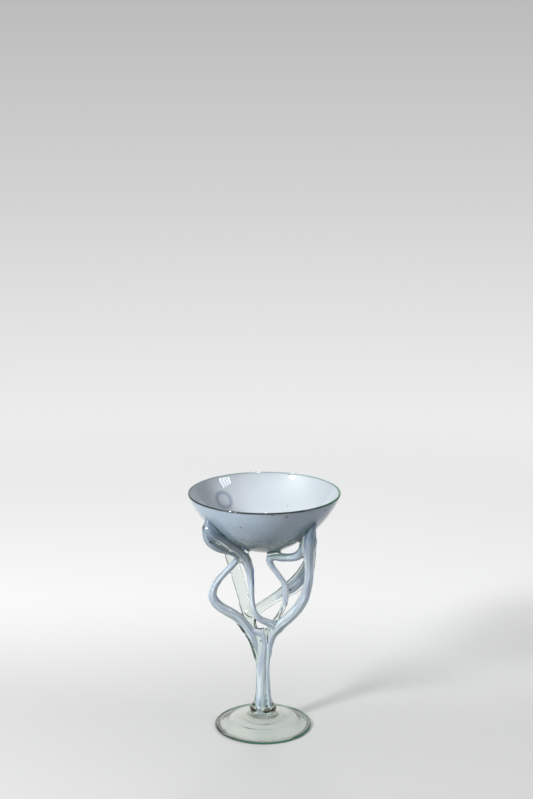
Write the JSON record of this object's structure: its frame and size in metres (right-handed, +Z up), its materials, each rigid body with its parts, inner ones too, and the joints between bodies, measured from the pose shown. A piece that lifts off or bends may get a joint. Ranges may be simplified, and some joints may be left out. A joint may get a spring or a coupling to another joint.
{
  "type": "martini glass",
  "caption": "Hand-blown cocktail glass: a wide conical bowl held by bent glass rods and straps that join into one stem on a collar and a hollow foot.",
  "frame": {"origin": "on the bowl's axis, at the surface that the foot stands on", "axes": "+Z up along the bowl's axis; -Y is the front, the side with the two bent inner arms; +X to the right seen from the front"},
  "size_m": [0.115, 0.115, 0.188],
  "materials": {
    "clear_tinted_glass": "clear soda-lime glass with a faint green tint, fire polished",
    "opal_glass": "milky blue-white opal glass, fused inside clear glass"
  },
  "bodies": {
    "root": {"bowl_casing": "clear_tinted_glass", "bowl_lining": "opal_glass", "stem": "clear_tinted_glass", "stem_core_left": "opal_glass", "stem_core_right": "opal_glass", "collar": "clear_tinted_glass", "foot": "clear_tinted_glass", "back_left_strap": "clear_tinted_glass", "back_right_strap": "clear_tinted_glass", "back_right_core": "opal_glass", "left_outer_arm": "clear_tinted_glass", "left_outer_core": "opal_glass", "left_inner_arm": "clear_tinted_glass", "left_inner_core": "opal_glass", "right_outer_arm": "clear_tinted_glass", "right_outer_core": "opal_glass", "right_inner_arm": "clear_tinted_glass", "right_inner_core": "opal_glass"}
  },
  "joints": []
}
